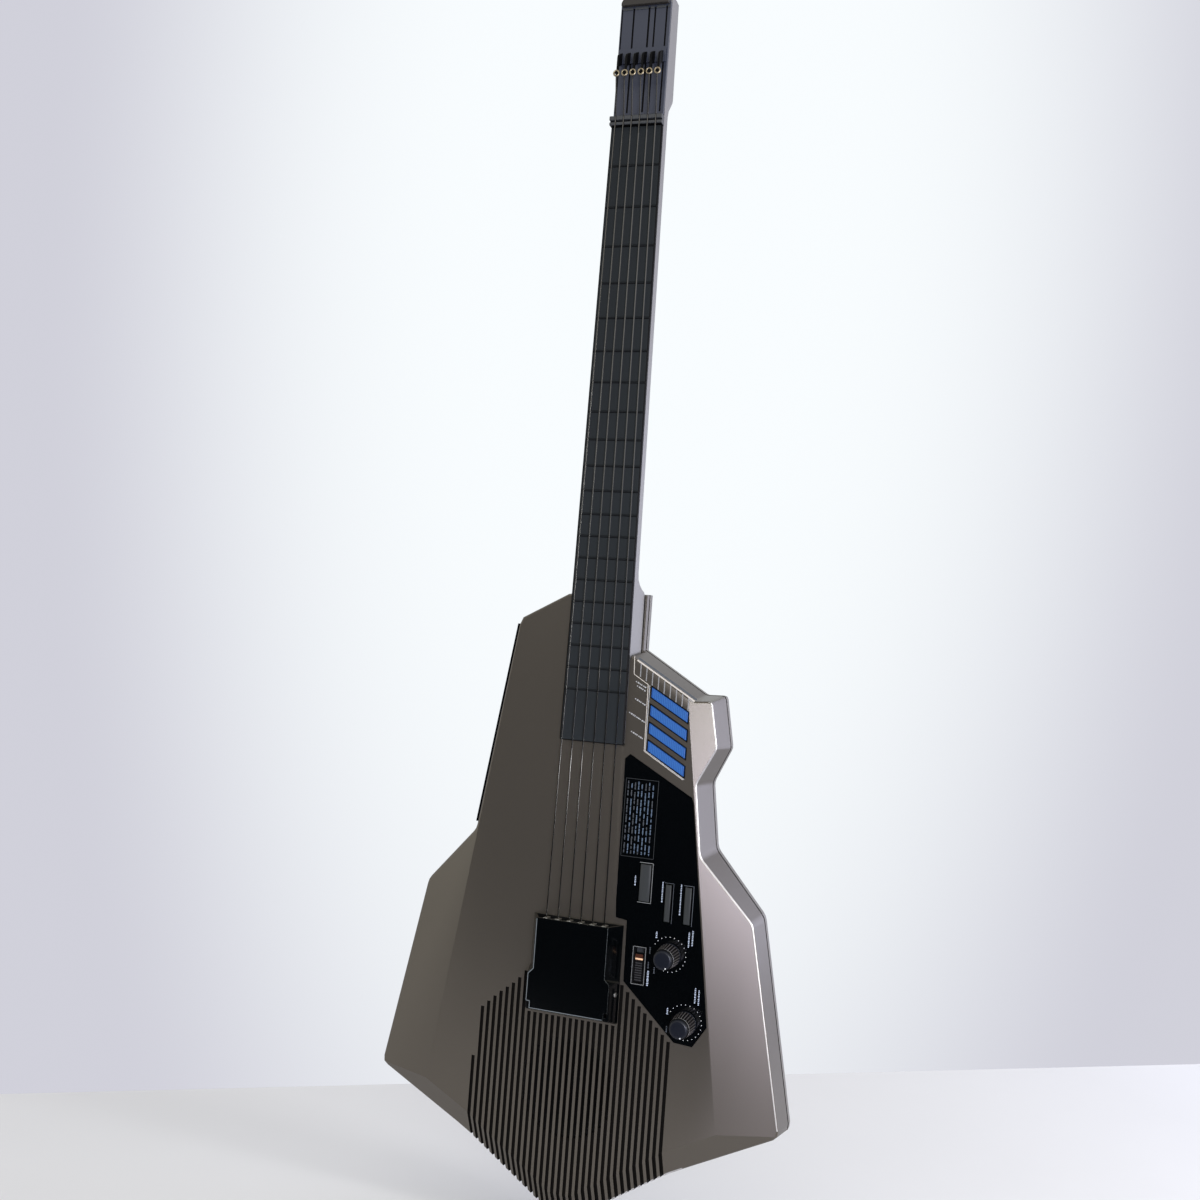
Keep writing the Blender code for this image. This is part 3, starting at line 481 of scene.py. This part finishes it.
# ------------------------------------------------------------- printed marks, with painted shade and highlights among them
F = 3.0
prints("pad_area_lines", [
    ((33.4, -440.2), (83, -469.2), 1.15),
    ((30.8, -437.0), (31.4, -451.6), 0.55), ((31.4, -451.6), (43.8, -459.1), 0.5),
    ((43.8, -459.1), (44.5, -512.3), 0.55), ((44.5, -512.3), (78.0, -531.8), 0.5)], F, material=CREAM)
prints("pad_area_inner_lines", [
    ((45.2, -459.6), (45.35, -511.9), 0.38), ((45.35, -511.9), (78.9, -531.45), 0.36)], F)
# painted shadow above the comb, and painted shade in the gaps round the pads
prints("comb_edge_shadow", [((34.6, -438.6), (84.6, -467.8), 1.3)], F, 0.10, material=DIM)
fr = []
for k in range(4):
    zt = -461.0 - 14.27 * k
    c = [(47.5, zt), (78.3, zt - 0.564 * 30.8), (78.3, zt - 0.564 * 30.8 - 8), (47.5, zt - 8)]
    g = [(-0.86, 1.31), (0.86, 0.34), (0.86, -1.31), (-0.86, -0.34)]
    o = [(x + dx, z + dz) for (x, z), (dx, dz) in zip(c, g)]
    fr += [(o[i], o[(i + 1) % 4], 0.57) for i in range(4)]
prints("pad_gap_shade", fr, F, 0.13, material=BLACK_AND_SHADE)
comb = []
for k in range(9):
    x = 36.8 + k * 5.15
    z = -440.9 - (x - 33.4) * 0.585
    comb.append(((x, z - 0.2), (x, z - 10.6), 0.85))
prints("pad_area_comb", comb, F, material=FAINT)
# generic dashes where small legends stand beside the pads
dash = []
for x, z, n in ((33.4, -457.2, 6), (34.6, -460.7, 5), (33.8, -471.1, 6), (29.6, -482.4, 9), (32.4, -497.4, 7)):
    for k in range(n):
        xa, za = x + 1.55 * k, z - 0.80 * k
        dash.append(((xa, za), (xa + (1.2 if k % 3 else 0.8), za - (0.62 if k % 3 else 0.41)), 1.15 if k % 2 else 0.85))
prints("pad_legend_dashes", dash, F, material=LEGEND)
# fine ribs across each pad, coloured a lighter blue than the pad as a painted highlight on the ribs
for k in range(4):
    bm = bmesh.new()
    zt = -461.0 - 14.27 * k
    x = 49.2
    while x < 77.4:
        zz = zt - 0.564 * (x - 47.5)
        zy = zt - 0.564 * (x + 0.75 - 47.5)
        add_prism(bm, [(x, zz - 0.8), (x + 0.75, zy - 0.8), (x + 0.75, zy - 7.2), (x, zz - 7.2)], 1.40, 1.52)
        x += 1.5
    obj_from(bm, f"pad_{k + 1}_ribs", RIB_HIGHLIGHT, f"pad_{k + 1}")
tick, dim = [], []
for c, x in enumerate((33.6, 36.6, 39.4, 42.2, 45.1, 48.3, 51.2, 54.4)):
    z, k = -537.0 - (c * 5 % 3) * 0.9, c * 3
    while z > -594.5:
        n = 3 + (k * 7 + c * 5) % 6
        for j in range(n):
            if z > -594.5:
                (dim if c in (0, 2) or (c + k) % 5 == 0 else tick).append(((x, z), (x, z - 0.50), 0.95 if (j * 3 + k + c) % 4 else 0.6))
            z -= 0.82
        z -= 0.7 + 0.7 * ((k + c) % 3)
        k += 1
prints("tone_table_ticks", tick, 2.8, material=PALEBLUE)
prints("tone_table_dim", dim, 2.8, material=DIM)
prints("tone_table_border", [((31.4, -535), (58.5, -535), 0.3), ((58.5, -535), (58.5, -597), 0.3),
                             ((58.5, -597), (31.4, -597), 0.3), ((31.4, -597), (31.4, -535), 0.3)], 2.8, material=KEY)


def outline(a, b, c, d, w, sides="tlbr"):
    e = {"t": ((a, d), (b, d), w), "r": ((b, d), (b, c), w), "b": ((b, c), (a, c), w), "l": ((a, c), (a, d), w)}
    return [e[k] for k in sides]


def word(x, za, zb, w):
    """A row of small bars standing where a word is printed."""
    out, z, k = [], za, 0
    while z - 0.8 > zb:
        h = (0.75, 0.6, 0.9)[k % 3]
        out.append(((x, z), (x, z - h), w if k % 2 else w * 0.7))
        z -= h + 0.62
        k += 1
    return out


# painted highlights on the lit top and right rims of the key recesses, dimmer round the second and third keys
prints("key_recess_highlight", outline(47.75, 58.95, -631.85, -600.35, 0.45, "trb"), 2.8, material=OUTLINE)
prints("key_recess_highlight_dim", outline(69.55, 77.0, -645.25, -613.95, 0.3, "tr")
       + outline(85.45, 93.4, -645.25, -614.05, 0.4, "tr"), 2.8, material=DIM)
prints("switch_outline", outline(47.8, 58.2, -696.2, -666.7, 0.40), 1.8, material=OUTLINE)
prints("labels", word(45.0, -611.5, -619.3, 1.15) + word(68.0, -613.6, -630.4, 1.1) + word(83.2, -613.6, -638.0, 1.1)
       + word(61.0, -684.6, -696.4, 1.7) + word(65.8, -653.0, -658.6, 1.3) + word(92.2, -650.0, -661.8, 1.2)
       + word(95.1, -648.4, -660.1, 1.2) + word(79.0, -710.9, -716.2, 1.3) + word(100.4, -692.2, -704.7, 1.2)
       + word(103.4, -693.4, -705.4, 1.2), 2.8, material=LABEL)
prints("labels_dim", word(61.3, -666.0, -671.8, 1.2) + word(60.7, -677.7, -682.8, 1.1) + word(65.8, -681.0, -686.0, 1.2)
       + word(79.2, -724.9, -729.9, 1.2), 2.8, material=DIM)

# orange mark and ridges of the power slide
bm = bmesh.new()
add_prism(bm, [(49.9, -676.95), (56.1, -676.95), (56.1, -675.65), (49.9, -675.65)], 2.12, 2.28)
obj_from(bm, "power_mark", ORANGE, "power_slider")
bm = bmesh.new()
add_prism(bm, [(49.9, -675.6), (56.1, -675.6), (56.1, -672.6), (49.9, -672.6)], 2.16, 2.28)
obj_from(bm, "power_mark_shade", BROWN, "power_slider")
bm = bmesh.new()
for k in range(8):
    z = -679.2 - 1.9 * k
    add_prism(bm, [(50.2, z), (55.8, z), (55.8, z - 0.8), (50.2, z - 0.8)], 1.95, 2.28)
obj_from(bm, "power_ridges", MATTE, "power_slider")

# painted highlight lines along the cover's front edges
e = 0.75
ce = [(-30.4 + e, -652.7), (-30.4 + e, -692.6), (-34.6 + e, -697.0), (-34.6 + e, -718.6), (-31.6 + e, -718.6),
      (-31.6 + e, -724.9 + e), (31.6 - e, -724.9 + e)]
prints("cover_edge_highlight_lines", [(ce[i], ce[i + 1], 0.55) for i in range(6)], -14.0, 0.06, material=COVER_LINE_HIGHLIGHT)

# light line under the top bar
bm = bmesh.new()
for xa, xb in ((-19.4, -10.9), (-9.1, 2.2), (4.2, 7.5), (9.3, 17.3), (19.1, 21.0)):
    add_prism(bm, [(xa, 96.6), (xb, 96.6), (xb, 94.4), (xa, 94.4)], 0.9, 1.47)
obj_from(bm, "head_step_line", NUT)
# brass ball ends over the wire's own rings
for i in range(6):
    x = (i - 2.5) * 7.0
    bm = bmesh.new()
    U, V = 28, 12
    grid = [[bm.verts.new(P(x + (2.15 + 0.74 * math.cos(v * 2 * math.pi / V)) * math.cos(u * 2 * math.pi / U),
                            -9.9 + 0.74 * math.sin(v * 2 * math.pi / V),
                            37.0 + (2.15 + 0.74 * math.cos(v * 2 * math.pi / V)) * math.sin(u * 2 * math.pi / U)))
             for v in range(V)] for u in range(U)]
    for u in range(U):
        for v in range(V):
            bm.faces.new((grid[u][v], grid[(u + 1) % U][v], grid[(u + 1) % U][(v + 1) % V], grid[u][(v + 1) % V]))
    obj_from(bm, f"ball_end_{i + 1}", BRASS, "guitar", smooth=60)

# --------------------------------------------------------- floor, light, view
bm = bmesh.new()
zf = (-906.0 + OZ) * MM - 0.0005
CAM = P(335.75, -991.02, -424.84)
psi, th, rho = 0.32775, -0.029465, 0.0742708


def Rz2(a):
    c, s = math.cos(a), math.sin(a)
    return Matrix(((c, -s, 0), (s, c, 0), (0, 0, 1)))


def Rx(a):
    c, s = math.cos(a), math.sin(a)
    return Matrix(((1, 0, 0), (0, c, -s), (0, s, c)))


R = Rz2(rho) @ Rx(th) @ Matrix(((1, 0, 0), (0, 0, -1), (0, 1, 0))) @ Rz2(-psi)


def on_floor(px, py):
    d = R.transposed() @ Vector(((px - 600) / 1290, (py - 600) / 1290, 1))
    return CAM + d * ((zf - CAM.z) / d.z)


fa, fb = on_floor(0, 1094), on_floor(1200, 1064)
across = (fb - fa).normalized()
toward = Vector((across.y, -across.x, 0))
if toward.y > 0:
    toward = -toward
FRONT = 0.66
corners = [fa - across * 0.9, fb + across * 0.9, fb + across * 0.9 + toward * FRONT, fa - across * 0.9 + toward * FRONT]
bm.faces.new([bm.verts.new(c) for c in corners])
bmesh.ops.subdivide_edges(bm, edges=bm.edges, cuts=6, use_grid_fill=True)
floor = obj_from(bm, "floor", plastic("floor_white", (0.715, 0.715, 0.725), 0.5, 0.0, 0.02, 30, 0.01), None)

w = bpy.data.worlds.new("pale_room")
bpy.context.scene.world = w
w.use_nodes = True
bg = w.node_tree.nodes["Background"]
wt = w.node_tree
tc = wt.nodes.new("ShaderNodeTexCoord")
sp = wt.nodes.new("ShaderNodeSeparateXYZ")
wt.links.new(tc.outputs["Generated"], sp.inputs[0])


def step(value, lo, hi):
    mr = wt.nodes.new("ShaderNodeMapRange")
    mr.interpolation_type = "SMOOTHSTEP"
    mr.inputs["From Min"].default_value = lo
    mr.inputs["From Max"].default_value = hi
    wt.links.new(value, mr.inputs["Value"])
    return mr.outputs["Result"]


def blend_colour(factor, a, b):
    mx = wt.nodes.new("ShaderNodeMix")
    mx.data_type = "RGBA"
    for socket, v in (("A", a), ("B", b)):
        if isinstance(v, tuple):
            mx.inputs[socket].default_value = (*v, 1)
        else:
            wt.links.new(v, mx.inputs[socket])
    wt.links.new(factor, mx.inputs["Factor"])
    return mx.outputs["Result"]


# palest right behind, greyer at the sides and in front, and one dark corner of the room low in front on the left
front = blend_colour(step(sp.outputs["Z"], -0.25, 0.10), (0.34, 0.34, 0.345), (0.82, 0.80, 0.74))
dot = wt.nodes.new("ShaderNodeVectorMath")
dot.operation = "DOT_PRODUCT"
wt.links.new(tc.outputs["Generated"], dot.inputs[0])
dot.inputs[1].default_value = (-0.317, -0.871, -0.375)
front = blend_colour(step(dot.outputs["Value"], 0.80, 0.95), front, (0.012, 0.013, 0.015))
back_dot = wt.nodes.new("ShaderNodeVectorMath")
back_dot.operation = "DOT_PRODUCT"
squash = wt.nodes.new("ShaderNodeVectorMath")
squash.operation = "MULTIPLY"
wt.links.new(tc.outputs["Generated"], squash.inputs[0])
squash.inputs[1].default_value = (1.0, 1.0, 0.4)
unit = wt.nodes.new("ShaderNodeVectorMath")
unit.operation = "NORMALIZE"
wt.links.new(squash.outputs["Vector"], unit.inputs[0])
wt.links.new(unit.outputs["Vector"], back_dot.inputs[0])
back_dot.inputs[1].default_value = (-0.2975, 0.9440, 0.1429)
rear = blend_colour(step(back_dot.outputs["Value"], 0.90, 0.995), (0.635, 0.635, 0.705), (0.945, 0.98, 1.0))
room = blend_colour(step(sp.outputs["Y"], -0.10, 0.35), front, rear)
wt.links.new(room, bg.inputs["Color"])
bg.inputs["Strength"].default_value = 1.0
bpy.context.scene.view_settings.view_transform = "Standard"


def area(name, loc, target, size, power, colour=(1, 1, 1), size_y=None):
    li = bpy.data.lights.new(name, "AREA")
    li.size = size
    if size_y:
        li.shape = "RECTANGLE"
        li.size_y = size_y
    li.energy = power
    li.color = colour
    ob = bpy.data.objects.new(name, li)
    bpy.context.scene.collection.objects.link(ob)
    ob.location = loc
    d = Vector(target) - Vector(loc)
    ob.rotation_euler = d.to_track_quat("-Z", "Y").to_euler()
    return ob


area("panel_low", (0.69, -1.50, -0.38), (0.10, 0, -0.40), 0.50, 14.8, (0.76, 0.75, 1.0), size_y=0.45)
area("panel_high", (0.69, -1.50, 0.02), (0.10, 0, -0.30), 0.50, 6.5, (0.90, 1.0, 0.85), size_y=0.5)
area("side_back", (1.15, 1.05, -0.1), (0.1, 0, -0.4), 0.9, 8.0, (0.72, 0.76, 1.0))
area("side", (1.5, -0.17, -0.04), (0, -0.03, -0.04), 0.22, 12.0, (1.0, 1.0, 1.0), size_y=0.84)
area("left_low", (-1.6, -1.0, -0.2), (0, 0, -0.4), 1.0, 2.5, (0.96, 1.0, 0.92))

cam_rot = R.transposed() @ Matrix(((1, 0, 0), (0, -1, 0), (0, 0, -1)))
cd = bpy.data.cameras.new("camera")
cd.sensor_width = 36
cd.lens = 36 * 1290 / 1200
cd.clip_end = 20
cam = bpy.data.objects.new("camera", cd)
bpy.context.scene.collection.objects.link(cam)
cam.matrix_world = Matrix.Translation(P(335.75, -991.02, -424.84)) @ cam_rot.to_4x4()
bpy.context.scene.camera = cam

bpy.context.view_layer.update()
